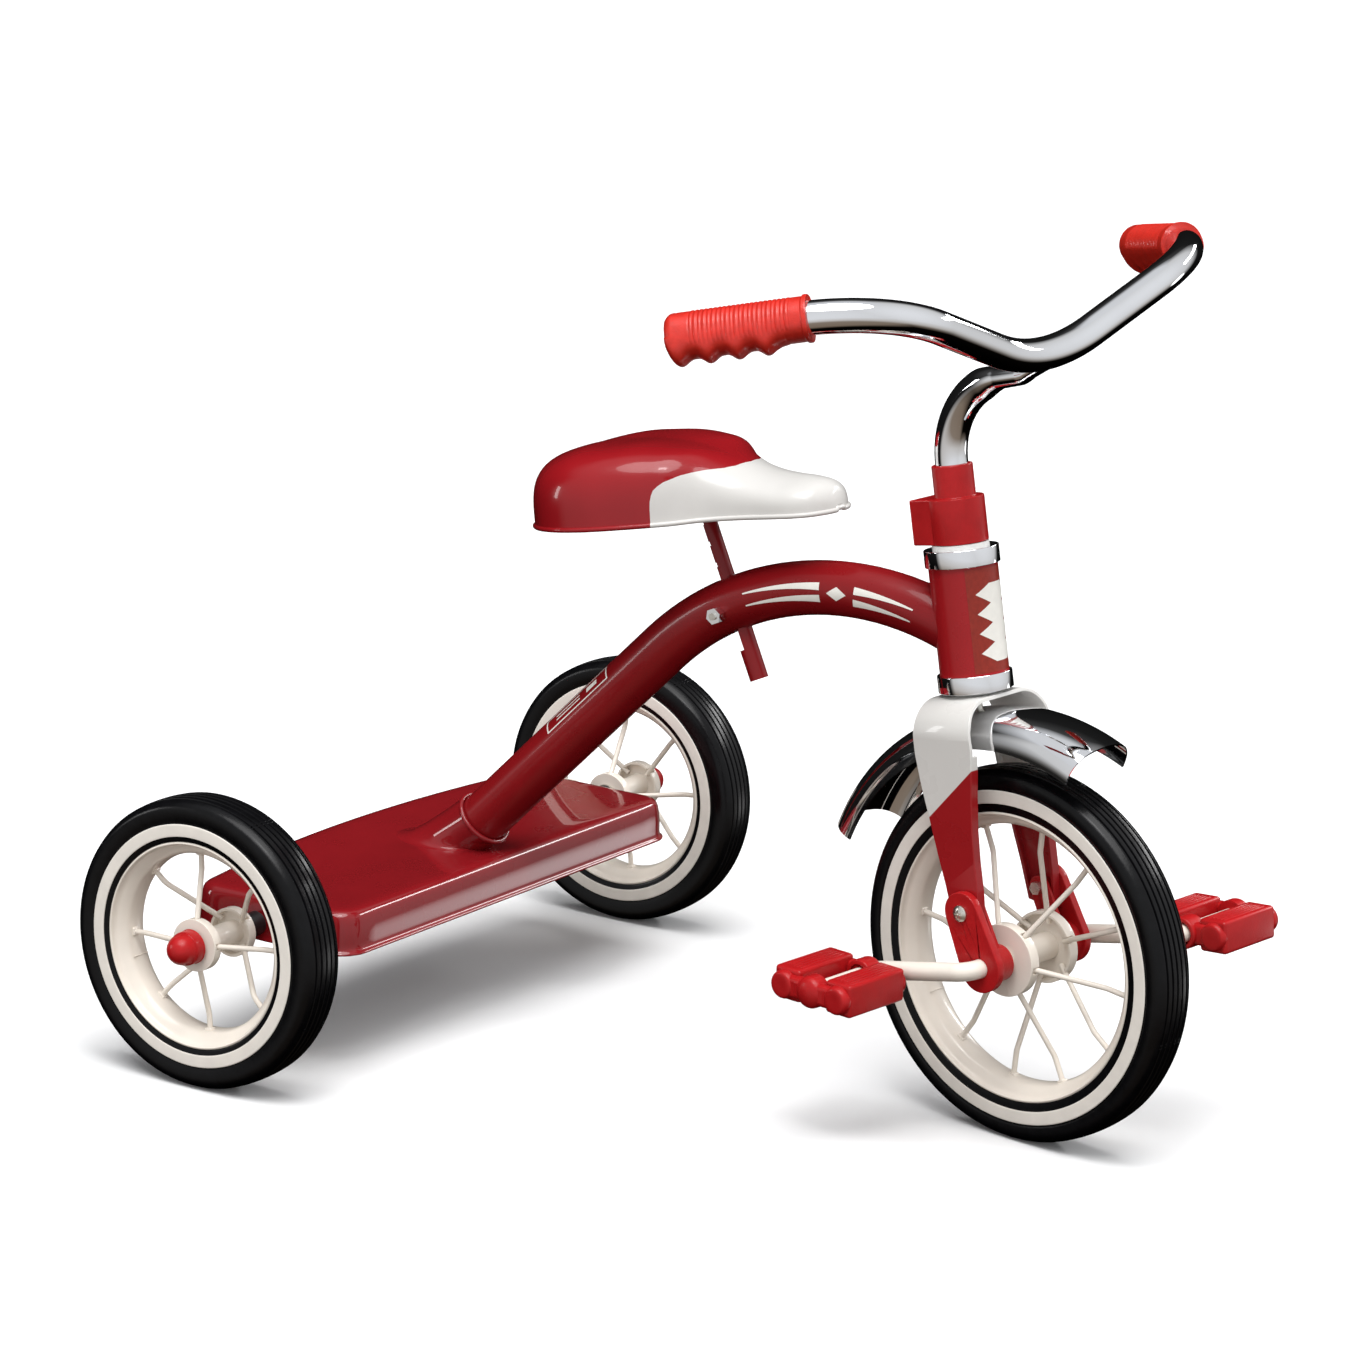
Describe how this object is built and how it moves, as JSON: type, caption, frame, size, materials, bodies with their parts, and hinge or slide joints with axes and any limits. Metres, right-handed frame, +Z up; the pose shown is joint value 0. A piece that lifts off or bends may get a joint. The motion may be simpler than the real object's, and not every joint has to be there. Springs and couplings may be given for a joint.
{
  "type": "children's tricycle",
  "caption": "Child's tricycle with a single bent main tube, pressed rear deck, spoked wheels, inclined fork with fender, direct front pedals and an adjustable pan seat.",
  "frame": {"origin": "on the ground, under the middle of the bounding box", "axes": "+X forward, +Y to the rider's left, +Z up"},
  "size_m": [0.7184, 0.587, 0.5949],
  "materials": {
    "red_paint": "gloss",
    "seat_paint": "gloss",
    "cream_paint": "gloss",
    "chrome": "polished",
    "zinc_steel": "zinc plated",
    "red_plastic": "gloss",
    "white_plastic": "satin",
    "black_plastic": "satin",
    "tyre_rubber": "moulded"
  },
  "bodies": {
    "frame": {"frame_tube": "red_paint", "head_tube": "red_paint", "rear_deck": "red_paint", "axle_bracket_right": "red_paint", "axle_bracket_left": "red_paint", "rear_axle": "zinc_steel", "axle_spacer_right": "black_plastic", "axle_spacer_left": "black_plastic", "rear_washers": "zinc_steel", "hub_cap_right": "red_plastic", "hub_cap_left": "red_plastic", "upper_cup": "chrome", "lower_cup": "chrome", "upper_bushing": "white_plastic", "lower_bushing": "white_plastic", "seat_clamp_bolt": "zinc_steel", "seat_clamp_nut": "chrome"},
    "seat": {"seat_shell": "seat_paint", "seat_bracket": "zinc_steel", "seat_studs": "zinc_steel", "seat_post": "red_paint"},
    "steering": {"steerer_tube": "zinc_steel", "fork": "red_paint", "fender": "chrome", "fender_bolt": "zinc_steel", "fender_nut": "zinc_steel", "bearing_bracket_right": "red_plastic", "bearing_bracket_left": "red_plastic", "bracket_screws": "zinc_steel", "bracket_nuts": "zinc_steel", "stem_collar": "red_plastic", "collar_screw": "zinc_steel", "collar_nut": "zinc_steel", "handlebar_stem": "chrome", "handlebar": "chrome", "grip_right": "red_plastic", "grip_left": "red_plastic"},
    "front_wheel": {"front_tyre": "tyre_rubber", "front_rim": "cream_paint", "front_spokes": "cream_paint", "front_hub": "cream_paint", "front_flange_right": "cream_paint", "front_flange_left": "cream_paint", "crank": "cream_paint", "pedal_cap_right": "zinc_steel", "pedal_cap_left": "zinc_steel"},
    "pedal_right": {"pedal_right": "red_plastic"},
    "pedal_left": {"pedal_left": "red_plastic"},
    "rear_wheel_right": {"rear_tyre_right": "tyre_rubber", "rear_rim_right": "cream_paint", "rear_spokes_right": "cream_paint", "rear_hub_right": "cream_paint", "rear_bushings_right": "white_plastic"},
    "rear_wheel_left": {"rear_tyre_left": "tyre_rubber", "rear_rim_left": "cream_paint", "rear_spokes_left": "cream_paint", "rear_hub_left": "cream_paint", "rear_bushings_left": "white_plastic"}
  },
  "joints": [
    {"name": "steering", "type": "hinge", "parent": "frame", "child": "steering", "pos_m": [0.17124, 0, 0.345], "axis": [-0.1771, 0, 0.9842], "range_deg": [-34.5, 55.5]},
    {"name": "front_wheel_spin", "type": "hinge", "parent": "steering", "child": "front_wheel", "pos_m": [0.22894, -0.00337, 0.12693], "axis": [-0.1794, -0.9833, -0.0323], "continuous": true},
    {"name": "pedal_right_spin", "type": "hinge", "parent": "front_wheel", "child": "pedal_right", "pos_m": [0.13799, -0.09147, 0.1095], "axis": [-0.1794, -0.9833, -0.0323], "continuous": true},
    {"name": "pedal_left_spin", "type": "hinge", "parent": "front_wheel", "child": "pedal_left", "pos_m": [0.31988, 0.08473, 0.14435], "axis": [-0.1794, -0.9833, -0.0323], "continuous": true},
    {"name": "rear_wheel_right_spin", "type": "hinge", "parent": "frame", "child": "rear_wheel_right", "pos_m": [-0.25876, -0.256, 0.1004], "axis": [0, 1, 0], "continuous": true},
    {"name": "rear_wheel_left_spin", "type": "hinge", "parent": "frame", "child": "rear_wheel_left", "pos_m": [-0.25876, 0.256, 0.1004], "axis": [0, 1, 0], "continuous": true},
    {"name": "seat_height", "type": "slide", "parent": "frame", "child": "seat", "axis": [-0.4099, 0, 0.9121], "range_m": [-0.012, 0.018]}
  ]
}
